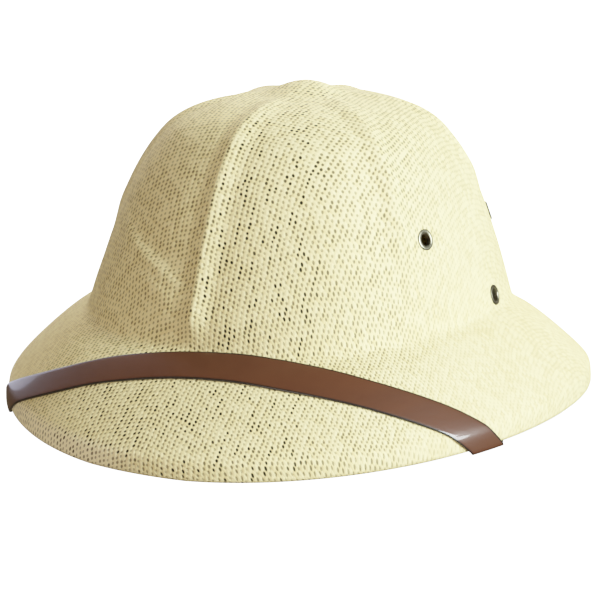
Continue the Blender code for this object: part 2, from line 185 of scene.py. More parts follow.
# Ribs: angle in degrees, share of the rib height, share of the crown's height where it starts and is whole
RIBS = (
    (0, 1.1, 0.00, 0.15), (60, 0.9, 0.30, 0.50), (120, 0.9, 0.45, 0.65),
    (180, 1.0, 0.00, 0.15), (240, 0.9, 0.45, 0.65), (300, 0.9, 0.30, 0.50),
)
# Half of a rib's height is a round bump and half a crest, which is sharper for a higher power
RIB_CREST_POWER = 1.6
# The front rib also stands on a low broad foot
FRONT_FOOT_SHARE = 0.75
FRONT_FOOT_HALF_WIDTH = 0.045
# Folds: start angle in degrees, start height share, end angle, end height share, share of the fold height
FOLDS = ((-38, 0.463, -3, 0.25, 2.1), (-36, 0.338, -7, 0.202, 1.5))
FOLD_SHARP_WIDTH = 0.0038
FOLD_FADING_WIDTH = 0.014
# Below 1 a fold keeps its height nearer to its ends
FOLD_END_POWER = 0.7

# Eyelets: place, angle in degrees, share of the crown's height, holds the strap
EYELETS = (("front", 70, 0.414, False), ("low", 101.8, 0.058, True), ("back", 128, 0.41, False))
SIDES = (("left", 1), ("right", -1))

# Middle of the strap: angle in degrees, share of the brim's section, below 0 underneath
STRAP_ROUTE = (
    (-78, -0.58), (-54, -0.13), (-34, 0.35), (-13, 0.8), (10, 0.93),
    (31, 0.81), (49, 0.535), (64, 0.16), (80, -0.65),
)
# The strap lies flat across the hollow at the crown's base, where it takes more of the section than its width
STRAP_BRIDGING_EXTRA = 0.18
STRAP_BRIDGING_START = 0.60
STRAP_BRIDGING_WHOLE = 0.90

# How finely the shapes are divided
SECTION_STEPS = 14
INSIDE_ROW_STEP = 5
# Columns of the body: start and end in degrees, number of steps, closest together at the folds
COLUMN_RUNS = ((-50, 5, 110), (5, 310, 305))
RIM_STEPS = 6
ROUTE_STEPS = 12
STRAP_STEPS_ON_TOP = 120
STRAP_STEPS_AT_BEND = 12
STRAP_STEPS_BELOW = 24
STRAP_STEPS_AT_ANCHOR = 8
STRAP_STEPS_AT_RIM = 12
STRAP_RIM_REACH = 0.014
STRAP_CORNER_STEPS = 3
STRAP_FACE_STEPS = 10
EYELET_SEGMENTS = 48
ROLL_STEPS = 10

# Rolled flange of an eyelet: half its width as a share of the lip, height of its foot as a share of its rise
ROLL_HALF_WIDTH = 0.45
ROLL_FOOT = 0.30
# Bevels of the flange's edge outside and inside the hat, and of the hole inside
OUTER_BEVEL = 0.0002
INNER_BEVEL = 0.0004
HOLE_BEVEL = 0.0003

# The cloth hangs from the crown's top. It is drawn in at the sides, which lie a little behind the middle.
CLOTH_TURN = 0.17
CLOTH_SLACK = 0.86

# Length that counts as 1 in the UV map of distances from the brim's edge and from the crown's base
RIM_UNIT = 0.01

# Weave, in thread spacings. A level is a thread's middle height and swing, as shares of the thread relief.
HALF_SPACING = (0.5, 0.5, 0.5)
THREAD_WANDER = (0.8, 0.8, 0.0)
THREAD_ROUNDING = 0.6
WARP_LEVEL = (0.82, 0.18)
WEFT_LEVEL = (0.66, -0.28)
FIBRE_RELIEF = 0.30
# Holes, in thread spacings
HOLE_OFFSET = 0.13
HOLE_SQUEEZE = (1.0, 0.85, 0.0)
HOLE_RADIUS = 0.30
HOLE_RADIUS_SPAN = 0.08
HOLE_SOFT_EDGE = 0.17
# How much painted shade open and closed holes get
RUN_STRETCH = (0.9, 0.13, 0.0)
OPEN_BY_CHANCE = 0.40
OPEN_BY_RUN = 1.5
OPEN_START = 0.52
OPEN_WHOLE = 1.18
OPEN_POWER = 1.3
SHUT_DEPTH = 0.40
SHUT_DEPTH_SPAN = 0.36
# Fades of the open holes, the closed ones and the relief: distance where it starts and ends, share left.
# The distance is measured from a line a little left of the front, and grows towards the back.
OPEN_MIDDLE = 0.015
SIDE_WEIGHT = 0.92
BACK_WEIGHT = 0.37
OPEN_FADE = (-0.005, 0.045, 0.05)
SHUT_FADE = (0.030, 0.075, 0.28)
RELIEF_FADE = (0.055, 0.090, 0.30)
# Flank of the front rib, across the hat, and the heights between which the crown gives way to the brim
FLANK_START = -0.012
FLANK_END = 0.003
FLANK_OPEN_SHARE = 0.45
CROWN_START = 0.052
BRIM_END = 0.048
# Shade between the threads, by the relief, and tints of the straw
FLOOR_LEVEL = 0.10
LIT_LEVEL = 0.62
FLOOR_SHADE = 0.20
CROSSING_TINT = 0.55
CLOUD_TINT = 0.45
# Bands along the cut edge: distance from it where they fade out and where they are whole
RIM_REACH = (0.0022, 0.0008)
RIM_SHADE = 0.35
BAND_REACH = (0.014, 0.007)
# Side where the turned-down band gets its painted light
PAINTED_LIGHT_START = 0.010
PAINTED_LIGHT_WHOLE = -0.030
# Burnished edge of the strap with painted shade, from its side, and painted shade round an eyelet's flange,
# as shares of its radius
BURNISHED_SHADE_START = 0.0011
BURNISHED_SHADE_WHOLE = 0.0003
OUTLINE_SHADE_START = 0.93
OUTLINE_SHADE_WHOLE = 0.985
SMOOTH = {"interpolation_type": "SMOOTHSTEP"}

# Brightness of the scene that the camera shows as white, the glow of the table and that of the room
EXPOSED_WHITE = 3.0
EXPOSURE_STEPS = 8
TABLE_GLOW = 3.2
ROOM_GLOW = 0.15
ROOM_COLOUR = "#FFE1AD"
UNLIT_COLOUR = "#0A0A08"
STAGE_RADIUS = 12.0
STAGE_SEGMENTS = 96
# The hat rests at height 0, just above the shade and the floor
SHADE_HEIGHT = -0.0001
FLOOR_HEIGHT = -0.0002
SENSOR_WIDTH_MM = 36
# Lamps: name, turn from the front and elevation in degrees, strength, colour, spread in degrees, lights matt
LAMPS = (
    ("key_light", 90, 32, 4.2, "#F0FCFF", 20, True),
    ("low_key_light", 90, 12, 4.7, "#F0FCFF", 24, True),
    ("front_fill", 4, 12, 1.95, "#FFEFE8", 30, True),
    ("warm_back_fill", -150, 32, 3.0, "#FFF5D5", 30, True),
    ("cool_window", -140, 20, 2.2, "#DCE4FF", 60, False),
)

# Hand-moulded unevenness of the crown
DENT_SIZE = 0.030
DENT_DEPTH = 0.0005
DENT_START = 0.05
DENT_WHOLE = 0.25


def smooth_step(value, start, whole):
    """Rise from 0 at start to 1 at whole, with round ends."""
    share = min(max((value - start) / (whole - start), 0), 1)
    return share * share * (3 - 2 * share)


def round_bump(distance, half_width):
    """Height share of a round bump at a distance from its middle."""
    if abs(distance) >= half_width:
        return 0
    return (1 + math.cos(math.pi * distance / half_width)) / 2


def oval_reach(angle, half_width, front_reach, back_reach, power):
    """Distance from the middle to an oval with a front and a back reach of its own."""
    reach = front_reach if math.cos(angle) > 0 else back_reach
    across = abs(math.sin(angle) / half_width) ** power
    along = abs(math.cos(angle) / reach) ** power
    return (across + along) ** (-1 / power)


def smooth_curve(corners, steps):
    """Round curve that starts and ends on the outer corners and is pulled by those between them."""
    points = [corners[0]]
    last = len(corners) - 1
    for index in range(1, last):
        before = corners[0] if index == 1 else (corners[index - 1] + corners[index]) / 2
        after = corners[last] if index == last - 1 else (corners[index] + corners[index + 1]) / 2
        for step in range(1, steps + 1):
            share = step / steps
            start = before.lerp(corners[index], share)
            end = corners[index].lerp(after, share)
            points.append(start.lerp(end, share))
    return points


def section_normal(line, index):
    """Outward direction, in the plane of the section, at a point of a line that runs up from the edge."""
    before = line[max(index - 1, 0)]
    after = line[min(index + 1, len(line) - 1)]
    along = (after - before).normalized()
    return Vector((along.y, -along.x))


class StrawWall:
    """The moulded wall: its section at any angle, and places on it."""

    def __init__(self, sizes):
        self.sizes = sizes
        self.centre_y = (sizes.brim_front_reach - sizes.brim_back_reach) / 2
        self.kept = {}

    def base_height(self, angle):
        """Height of the crown's base."""
        sizes = self.sizes
        end_height = sizes.base_height_front if math.cos(angle) > 0 else sizes.base_height_back
        return sizes.base_height_side + (end_height - sizes.base_height_side) * math.cos(angle) ** 2

    def edge_height(self, angle):
        """Height of the brim's edge."""
        rise = (abs(math.sin(angle)) ** EDGE_RISE_POWER - REST_SHARE) / (1 - REST_SHARE)
        return self.sizes.edge_height_side * max(rise, 0)

    def rib_height(self, angle, reach, up):
        """How far the nearest rib lifts the wall."""
        height = 0
        for rib_angle, share, start, whole in RIBS:
            turn = angle - math.radians(rib_angle)
            beside = abs(reach * math.sin(turn)) if math.cos(turn) > 0 else reach
            crest = max(1 - beside / self.sizes.rib_half_width, 0) ** RIB_CREST_POWER
            round_share = round_bump(beside, self.sizes.rib_half_width)
            rise = share * (crest + round_share) / 2
            if rib_angle == 0:
                rise += FRONT_FOOT_SHARE * round_bump(beside, FRONT_FOOT_HALF_WIDTH)
            rise *= smooth_step(up, start, whole)
            height = max(height, rise)
        return self.sizes.rib_height * height * smooth_step(reach, 0, self.sizes.rib_whole_reach)

    def fold_height(self, angle, up):
        """How far the folds beside the front rib lift the wall."""
        height = 0
        turn = (math.degrees(angle) + 180) % 360 - 180
        for start_angle, start_up, end_angle, end_up, share in FOLDS:
            along = (turn - start_angle) / (end_angle - start_angle)
            if not 0 < along < 1:
                continue
            crown_height = self.sizes.dome_height - self.base_height(angle)
            run = math.radians(end_angle - start_angle) * self.sizes.crown_front_reach
            rise = (end_up - start_up) * crown_height
            above = (up - start_up - along * (end_up - start_up)) * crown_height * run / math.hypot(run, rise)
            width = FOLD_SHARP_WIDTH if above > 0 else FOLD_FADING_WIDTH
            height += share * round_bump(above, width) * math.sin(math.pi * along) ** FOLD_END_POWER
        return self.sizes.fold_height * height

    def dent(self, angle, point, up):
        """How far the hand-moulded unevenness lifts the crown."""
        if up < DENT_START:
            return 0
        place = self.in_space(angle, point.x, point.y) / DENT_SIZE
        return DENT_DEPTH * noise.noise(place) * smooth_step(up, DENT_START, DENT_WHOLE)

    def section(self, angle):
        """Outer line of the wall at an angle, from the brim's edge up, and the distance to each point."""
        if angle in self.kept:
            return self.kept[angle]
        sizes = self.sizes
        base = self.base_height(angle)
        crown_height = sizes.dome_height - base
        crown = oval_reach(
            angle, sizes.crown_half_width, sizes.crown_front_reach, sizes.crown_back_reach, CROWN_OVAL_POWER,
        )
        brim = oval_reach(
            angle, sizes.brim_half_width, sizes.brim_front_reach, sizes.brim_back_reach, BRIM_OVAL_POWER,
        )
        drop = self.edge_height(angle) - base
        corners = [Vector((crown * out, base + crown_height * up)) for out, up in CROWN_SECTION]
        in_front = smooth_step(math.cos(angle), FRONT_START_COSINE, FRONT_WHOLE_COSINE)
        for beside, lower in zip(BRIM_SECTION, FRONT_CREASE):
            share = Vector(beside) + Vector(lower) * in_front
            corners.append(Vector((crown + (brim - crown) * share.x, base + drop * share.y)))
        line = smooth_curve(corners[::-1], SECTION_STEPS)
        raised = []
        for index, point in enumerate(line):
            up = (point.y - base) / crown_height
            lift = self.rib_height(angle, point.x, up) + self.fold_height(angle, up)
            lift += sizes.peak_height * round_bump(point.x, sizes.peak_reach)
            lift += self.dent(angle, point, up)
            normal = Vector((0, 1)) if index == len(line) - 1 else section_normal(line, index)
            raised.append(point + normal * lift)
        total = [0.0]
        for before, after in zip(raised, raised[1:]):
            total.append(total[-1] + (after - before).length)
        self.kept[angle] = (raised, total)
        return self.kept[angle]

    def distance_at_height(self, angle, height):
        """Distance along the section from the brim's edge up to a height."""
        line, total = self.section(angle)
        for index in range(1, len(line)):
            if line[index].y >= height:
                share = (height - line[index - 1].y) / (line[index].y - line[index - 1].y)
                return total[index - 1] + share * (total[index] - total[index - 1])
        return total[-1]

    def brim_length(self, angle):
        """Length of the brim's section, from its edge to the crown's base."""
        return self.distance_at_height(angle, self.base_height(angle))

    def in_space(self, angle, reach, height):
        """Point in space of a (reach, height) point of the section at an angle."""
        lean = LEAN_SLOPE * max(height - LEAN_START_HEIGHT, 0)
        return Vector((reach * math.sin(angle), self.centre_y + lean - reach * math.cos(angle), height))

    def point(self, angle, distance, lift):
        """Point on the wall, moved outwards by lift, at a distance up from the brim's edge."""
        line, total = self.section(angle)
        index = 1
        while index < len(line) - 1 and total[index] < distance:
            index += 1
        share = (distance - total[index - 1]) / (total[index] - total[index - 1])
        place = line[index - 1].lerp(line[index], share)
        normal = section_normal(line, index - 1).lerp(section_normal(line, index), share).normalized()
        place += normal * lift
        return self.in_space(angle, place.x, place.y)

    def normal(self, angle, distance):
        """Outward direction of the wall in space."""
        step = 0.001
        turn = 0.01
        up = self.point(angle, distance + step, 0) - self.point(angle, distance - step, 0)
        around = self.point(angle + turn, distance, 0) - self.point(angle - turn, distance, 0)
        return around.cross(up).normalized()

    def thread_count(self, angle, index):
        """Which warp and weft thread, as running numbers, lie at a point of the section line."""
        line, total = self.section(angle)
        reach = line[index].x
        run = reach + CLOTH_SLACK * (total[-1] - total[index] - reach)
        turn = angle - CLOTH_TURN * math.sin(angle) * abs(math.sin(angle))
        across = math.sin(turn) ** 2
        along = math.cos(turn) ** 2
        warp = math.sin(turn) * (reach * along + run * across) / self.sizes.warp_pitch
        weft = math.cos(turn) * (run * along + reach * across) / self.sizes.weft_pitch
        return warp, weft

    def eyelet_place(self, angle_deg, up, side):
        """Point, angle, distance up the wall, and outward direction of an eyelet on one side of the hat."""
        angle = side * math.radians(angle_deg)
        base = self.base_height(angle)
        distance = self.distance_at_height(angle, base + up * (self.sizes.dome_height - base))
        return self.point(angle, distance, 0), angle, distance, self.normal(angle, distance)


def add_node(material, kind, inputs=None, **settings):
    """Add a shader node with its settings and links.

    Inputs are given by name or number. Each is a value, a socket, or a node whose first output is linked.
    """
    tree = material.node_tree
    node = tree.nodes.new("ShaderNode" + kind)
    for name, value in settings.items():
        setattr(node, name, value)
    for key, value in (inputs or {}).items():
        if isinstance(value, Node):
            value = next(output for output in value.outputs if output.enabled)
        if isinstance(value, NodeSocket):
            tree.links.new(value, node.inputs[key])
        else:
            node.inputs[key].default_value = value
    return node


def new_material(name):
    """Empty material with only its output."""
    material = bpy.data.materials.new(name)
    material.use_nodes = True
    for node in list(material.node_tree.nodes):
        if node.type != "OUTPUT_MATERIAL":
            material.node_tree.nodes.remove(node)
    return material


def show(material, shader):
    """Link a shader to the material's output."""
    output = material.node_tree.nodes["Material Output"]
    material.node_tree.links.new(shader.outputs[0], output.inputs["Surface"])


def woven_paper_straw(sizes):
    """Paper straw: paper twisted into yarn, bleached cream and woven open on a loom, then moulded when wet.

    The eye sees soft pale ribs of warp over lower weft, and a small hole at the corners, some of them dark
    with painted shade of the hollow.
    """
    material = new_material("woven_paper_straw")
    node = partial(add_node, material)
    threads = node("UVMap", uv_map="threads")
    # Threads wander by about a tenth of their spacing, over a length of about 8 threads
    wander = node("TexNoise", {"Vector": threads, "Scale": 0.13, "Detail": 2.0})
    shift = node("VectorMath", {0: wander.outputs["Color"], 1: HALF_SPACING}, operation="SUBTRACT")
    shifted = node("VectorMath", {0: shift, 1: THREAD_WANDER, 2: threads}, operation="MULTIPLY_ADD")
    count = node("SeparateXYZ", {0: shifted})
    waves = []
    for axis in (0, 1):
        turns = node("Math", {0: count.outputs[axis], 1: math.pi}, operation="MULTIPLY")
        wave = node("Math", {0: turns}, operation="SINE")
        size = node("Math", {0: wave}, operation="ABSOLUTE")
        profile = node("Math", {0: size, 1: THREAD_ROUNDING}, operation="POWER")
        sign = node("Math", {0: wave}, operation="SIGN")
        waves.append((wave, profile, sign))
    warp, weft = waves
    # Each thread rises where it passes over and sinks where it passes under
    heights = []
    for own, other, (middle, swing) in ((warp, weft, WARP_LEVEL), (weft, warp, WEFT_LEVEL)):
        over = node("Math", {0: own[2], 1: other[0]}, operation="MULTIPLY")
        level = node("Math", {0: over, 1: swing, 2: middle}, operation="MULTIPLY_ADD")
        heights.append(node("Math", {0: level, 1: own[1]}, operation="MULTIPLY"))
    relief = node("Math", {0: heights[0], 1: heights[1]}, operation="MAXIMUM")
    # A number of its own for each hole and for each crossing
    near = node("VectorMath", {0: shifted, 1: HALF_SPACING}, operation="ADD")
    hole_number = node("VectorMath", {0: near}, operation="FLOOR")
    hole_chance = node("TexWhiteNoise", {"Vector": hole_number}, noise_dimensions="3D")
    crossing_number = node("VectorMath", {0: shifted}, operation="FLOOR")
    crossing_chance = node("TexWhiteNoise", {"Vector": crossing_number}, noise_dimensions="3D")
    # Holes: a little off their corners and of unlike sizes
    most = (HOLE_OFFSET, HOLE_OFFSET, 0.0)
    span = (-2 * HOLE_OFFSET, -2 * HOLE_OFFSET, 0.0)
    jitter = node("VectorMath", {0: hole_chance.outputs["Color"], 1: span, 2: most}, operation="MULTIPLY_ADD")
    offset = node("VectorMath", {0: shifted, 1: hole_number}, operation="SUBTRACT")
    offset = node("VectorMath", {0: offset, 1: jitter}, operation="ADD")
    squeezed = node("VectorMath", {0: offset, 1: HOLE_SQUEEZE}, operation="MULTIPLY")
    away = node("VectorMath", {0: squeezed}, operation="LENGTH")
    outer = node("Math", {0: hole_chance, 1: HOLE_RADIUS_SPAN, 2: HOLE_RADIUS}, operation="MULTIPLY_ADD")
    inner = node("Math", {0: outer, 1: HOLE_SOFT_EDGE}, operation="SUBTRACT")
    hole = node("MapRange", {"Value": away, "From Min": outer, "From Max": inner}, **SMOOTH)
    # Open holes are painted dark with the shade of the hollow behind them, and runs of them follow the warp
    along_warp = node("VectorMath", {0: hole_number, 1: RUN_STRETCH}, operation="MULTIPLY")
    runs = node("TexNoise", {"Vector": along_warp, "Scale": 1.0, "Detail": 1.0})
    depth = node("Math", {0: hole_chance, 1: OPEN_BY_CHANCE}, operation="MULTIPLY")
    depth = node("Math", {0: runs, 1: OPEN_BY_RUN, 2: depth}, operation="MULTIPLY_ADD")
    depth = node("MapRange", {"Value": depth, "From Min": OPEN_START, "From Max": OPEN_WHOLE})
    depth = node("Math", {0: depth, 1: OPEN_POWER}, operation="POWER")
    # The painted shade in the holes fades out towards the sides and the back, and the relief is flatter there
    place = node("TexCoord")
    side = node("SeparateXYZ", {0: place.outputs["Object"]})
    beside = node("Math", {0: side, 1: OPEN_MIDDLE}, operation="SUBTRACT")
    beside = node("Math", {0: beside}, operation="ABSOLUTE")
    beside = node("Math", {0: beside, 1: SIDE_WEIGHT}, operation="MULTIPLY")
    beside = node("Math", {0: side.outputs[1], 1: BACK_WEIGHT, 2: beside}, operation="MULTIPLY_ADD")
    masks = []
    for start, end, left in (OPEN_FADE, SHUT_FADE, RELIEF_FADE):
        fade = {"Value": beside, "From Min": start, "From Max": end, "To Min": 1.0, "To Max": left}
        masks.append(node("MapRange", fade, **SMOOTH))
    opened, shut, smoothed = masks
    # The open holes get less painted shade on the crown on the right of the front rib
    fade = {"Value": side, "From Min": FLANK_START, "From Max": FLANK_END, "To Min": FLANK_OPEN_SHARE}
    beyond_flank = node("MapRange", fade)
    on_brim = node("MapRange", {"Value": side.outputs[2], "From Min": CROWN_START, "From Max": BRIM_END})
    flank = node("Math", {0: beyond_flank, 1: on_brim}, operation="MAXIMUM")
    opened = node("Math", {0: opened, 1: flank}, operation="MULTIPLY")
    depth = node("Math", {0: depth, 1: opened}, operation="MULTIPLY")
    # The others, closed by fibres behind them, get a lighter painted shade of those fibres
    closed = node("Math", {0: crossing_chance, 1: SHUT_DEPTH_SPAN, 2: SHUT_DEPTH}, operation="MULTIPLY_ADD")
    closed = node("Math", {0: closed, 1: shut}, operation="MULTIPLY")
    depth = node("Math", {0: depth, 1: closed}, operation="MAXIMUM")
    painted_shade = node("Math", {0: hole, 1: depth}, operation="MULTIPLY")
    # The flanks between the threads are shaded too
    levels = {"From Min": FLOOR_LEVEL, "From Max": LIT_LEVEL, "To Min": FLOOR_SHADE, "To Max": 0.0}
    shade = node("MapRange", {"Value": relief, **levels})
    painted_shade = node("Math", {0: painted_shade, 1: shade}, operation="MAXIMUM")
    # Bleached cream, a little different at each crossing and in faint clouds of about 20 threads
    clouds = node("TexNoise", {"Vector": threads, "Scale": 0.05, "Detail": 3.0})
    tint = node("Math", {0: crossing_chance, 1: CROSSING_TINT}, operation="MULTIPLY")
    tint = node("Math", {0: clouds, 1: CLOUD_TINT, 2: tint}, operation="MULTIPLY_ADD")
    # The last millimetres up from the cut edge are painted darker
    rim = node("UVMap", uv_map="rim")
    from_edge = node("SeparateXYZ", {0: rim})
    bands = []
    for end, start in (RIM_REACH, BAND_REACH):
        fade = {"Value": from_edge, "From Min": end / RIM_UNIT, "From Max": start / RIM_UNIT}
        bands.append(node("MapRange", fade, **SMOOTH))
    at_rim = node("Math", {0: bands[0], 1: RIM_SHADE}, operation="MULTIPLY")
    # Painted light: the turned-down band above it is painted paler on the right
    painted_light_side = node("MapRange", {"Value": side, "From Min": PAINTED_LIGHT_START, "From Max": PAINTED_LIGHT_WHOLE}, **SMOOTH)
    painted_light_band = node("Math", {0: bands[1], 1: painted_light_side}, operation="MULTIPLY")
    colour = (*sizes.pale_thread, 1)
    layers = (
        (tint, sizes.deep_thread), (painted_light_band, sizes.band), (painted_shade, sizes.hole), (at_rim, sizes.rim),
    )
    for factor, over in layers:
        colour = node("Mix", {"Factor": factor, "A": colour, "B": (*over, 1)}, data_type="RGBA")
    # Fibres of the twisted paper, drawn coarser than the real 0.1 mm so that they show
    fibres = node("TexNoise", {"Vector": threads, "Scale": 3.0, "Detail": 2.0})
    surface = node("Math", {0: fibres, 1: FIBRE_RELIEF, 2: relief}, operation="MULTIPLY_ADD")
    surface = node("Math", {0: surface, 1: smoothed}, operation="MULTIPLY")
    bump = node("Bump", {"Strength": 1.0, "Distance": sizes.thread_relief, "Height": surface})
    finish = {
        "Base Color": colour, "Normal": bump, "Roughness": 0.72, "Specular IOR Level": 0.30, "IOR": 1.45,
    }
    show(material, node("BsdfPrincipled", finish))
    return material


def plated_leather(sizes):
    """Cow leather: dyed red brown, pressed under a hot smooth plate and lacquered, with burnished edges.

    The eye sees an even glossy face with faint clouds and pores, and near-black edges, darkened both by
    burnishing and by painted shade.
    """
    material = new_material("plated_leather")
    node = partial(add_node, material)
    place = node("UVMap", uv_map="strap")
    # Clouds are about 17 mm across, and the waves under the pores 6 mm
    clouds = node("TexNoise", {"Vector": place, "Scale": 60.0, "Detail": 3.0})
    across = node("SeparateXYZ", {0: place})
    beside = node("Math", {0: across.outputs[1]}, operation="ABSOLUTE")
    # Edges darkened by burnishing and by painted shade of the cut sides
    start = sizes.width / 2 - BURNISHED_SHADE_START
    whole = sizes.width / 2 - BURNISHED_SHADE_WHOLE
    edge = node("MapRange", {"Value": beside, "From Min": start, "From Max": whole}, **SMOOTH)
    colour = (*sizes.leather, 1)
    for factor, over in ((clouds, sizes.dark_leather), (edge, sizes.burnished_and_shaded)):
        colour = node("Mix", {"Factor": factor, "A": colour, "B": (*over, 1)}, data_type="RGBA")
    # Pores of plated leather are about 0.15 mm apart, drawn at 0.5 mm so that they show
    pores = node("TexVoronoi", {"Vector": place, "Scale": 2000.0})
    waves = node("TexNoise", {"Vector": place, "Scale": 180.0, "Detail": 2.0})
    surface = node("Math", {0: waves, 1: 3.0, 2: pores}, operation="MULTIPLY_ADD")
    bump = node("Bump", {"Strength": 0.35, "Distance": 0.00005, "Height": surface})
    dull = node("MapRange", {"Value": clouds, "To Min": 0.36, "To Max": 0.46})
    finish = {
        "Base Color": colour, "Normal": bump, "Roughness": dull, "Specular IOR Level": 0.40,
        "Coat Weight": 0.5, "Coat Roughness": 0.08,
    }
    show(material, node("BsdfPrincipled", finish))
    return material


def nickel_plated_brass(sizes):
    """Brass: stamped, rolled over and nickel plated, dulled by handling, with painted shade as a dark outline
    round its flange.

    The eye sees a grey ring with a dark outline.
    """
    material = new_material("nickel_plated_brass")
    node = partial(add_node, material)
    ring = node("UVMap", uv_map="ring")
    profile = node("SeparateXYZ", {0: ring})
    place = node("TexCoord")
    spots = node("TexNoise", {"Vector": place.outputs["Object"], "Scale": 900.0, "Detail": 2.0})
    # Painted shade: a dark outline at the flange's outer edge
    painted_outline_shade = node("MapRange", {"Value": profile, "From Min": OUTLINE_SHADE_START, "From Max": OUTLINE_SHADE_WHOLE}, **SMOOTH)
    colours = {"Factor": painted_outline_shade, "A": (*sizes.plating, 1), "B": (*sizes.painted_outline_shade, 1)}
    colour = node("Mix", colours, data_type="RGBA")
    dull = node("MapRange", {"Value": spots, "To Min": 0.26, "To Max": 0.46})
    show(material, node("BsdfPrincipled", {"Base Color": colour, "Roughness": dull, "Metallic": 1.0}))
    return material


def object_from(name, shape, material=None, sharp=60):
    """Object made from a bmesh, shaded smooth except at edges sharper than an angle in degrees."""
    mesh = bpy.data.meshes.new(name)
    shape.to_mesh(mesh)
    shape.free()
    mesh.shade_smooth()
    mesh.set_sharp_from_angle(angle=math.radians(sharp))
    if material:
        mesh.materials.append(material)
    piece = bpy.data.objects.new(name, mesh)
    bpy.context.scene.collection.objects.link(piece)
    return piece


def join_rings(shape, rings, closed=False):
    """Faces between each ring of corners and the next, all round."""
    pairs = list(zip(rings, rings[1:]))
    if closed:
        pairs.append((rings[-1], rings[0]))
    for ring, other in pairs:
        for index in range(len(ring)):
            following = (index + 1) % len(ring)
            shape.faces.new((ring[index], ring[following], other[following], other[index]))


def finished_piece(name, shape, maps, material, sharp=60):
    """Object from a closed bmesh and its UV maps, whose places are listed by the numbers of its corners."""
    shape.verts.index_update()
    for map_name, places in maps.items():
        layer = shape.loops.layers.uv.new(map_name)
        for face in shape.faces:
            for loop in face.loops:
                loop[layer].uv = places[loop.vert.index]
    bmesh.ops.recalc_face_normals(shape, faces=shape.faces)
    return object_from(name, shape, material, sharp)


def hole_cutter(wall, eyelet, strap):
    """Cylinders that cut the eyelets' holes through the wall and the strap's ends."""
    shape = bmesh.new()
    depth = 4 * (wall.sizes.wall + CLEARANCE + strap.thickness)
    for _, angle_deg, up, _ in EYELETS:
        for _, side in SIDES:
            point, _, _, normal = wall.eyelet_place(angle_deg, up, side)
            turn = normal.to_track_quat("Z", "Y").to_matrix().to_4x4()
            turn.translation = point
            radius = eyelet.barrel_radius + CLEARANCE
            bmesh.ops.create_cone(
                shape, cap_ends=True, segments=EYELET_SEGMENTS,
                radius1=radius, radius2=radius, depth=depth, matrix=turn,
            )
    return object_from("hole_cutter", shape)


def cut_holes(piece, cutter):
    """Cut the eyelets' holes in a piece for good, and remove the cutter."""
    holes = piece.modifiers.new("eyelet_holes", "BOOLEAN")
    holes.operation = "DIFFERENCE"
    holes.solver = "EXACT"
    holes.object = cutter
    graph = bpy.context.evaluated_depsgraph_get()
    cut = bpy.data.meshes.new_from_object(piece.evaluated_get(graph))
    piece.modifiers.remove(holes)
    piece.data = cut
    bpy.data.objects.remove(cutter, do_unlink=True)


class SUNHELMET_OT_straw_body(Operator):
    """Make the crown and brim as one moulded wall of woven paper straw"""

    bl_idname = "sun_helmet.straw_body"
    bl_label = "Straw body"

    def execute(self, context):
        scene = context.scene
        wall = StrawWall(scene.helmet_straw)
        thickness = wall.sizes.wall
        shape = bmesh.new()
        places = []
        rim_places = []
        columns = []
        rim_start = 1
        angles = [degrees for run in COLUMN_RUNS for degrees in spread(*run)[:-1]]
        for angle in map(math.radians, angles):
            line, total = wall.section(angle)
            last = len(line) - 1
            column = []
            for index in range(last - INSIDE_ROW_STEP, rim_start, -INSIDE_ROW_STEP):
                column.append((index, line[index] - section_normal(line, index) * thickness))
            # Round rim, no lower than the edge that the hat rests on
            normal = section_normal(line, 0)
            up = Vector((-normal.y, normal.x))
            middle = line[0] + (up - normal) * thickness / 2
            for turn in range(RIM_STEPS, -1, -1):
                bend = math.pi * turn / RIM_STEPS
                point = middle + (normal * math.cos(bend) - up * math.sin(bend)) * thickness / 2
                column.append((0, Vector((point.x, max(point.y, line[0].y)))))
            for index in range(rim_start, last):
                column.append((index, line[index]))
            brim = wall.brim_length(angle)
            columns.append([
                (wall.in_space(angle, point.x, point.y), wall.thread_count(angle, index),
                 (total[index] / RIM_UNIT, (total[index] - brim) / RIM_UNIT))
                for index, point in column
            ])
        rings = []
        for row in range(len(columns[0])):
            rings.append([shape.verts.new(column[row][0]) for column in columns])
            places += [column[row][1] for column in columns]
            rim_places += [column[row][2] for column in columns]
        join_rings(shape, rings)
        line, total = wall.section(0)
        top = wall.in_space(0, line[-1].x, line[-1].y)
        inside_top = top - Vector((0, 0, thickness))
        for ring, peak, turned in ((rings[0], inside_top, True), (rings[-1], top, False)):
            peak_corner = shape.verts.new(peak)
            places.append((0.0, 0.0))
            rim_places.append((total[-1] / RIM_UNIT, (total[-1] - wall.brim_length(0)) / RIM_UNIT))
            for index in range(len(ring)):
                corners = [ring[index], ring[(index + 1) % len(ring)], peak_corner]
                shape.faces.new(corners[::-1] if turned else corners)
        maps = {"threads": places, "rim": rim_places}
        body = finished_piece("woven_body", shape, maps, woven_paper_straw(wall.sizes))
        cut_holes(body, hole_cutter(wall, scene.helmet_eyelet, scene.helmet_strap))
        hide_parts("straw_body")
        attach(body, "root")
        return {"FINISHED"}


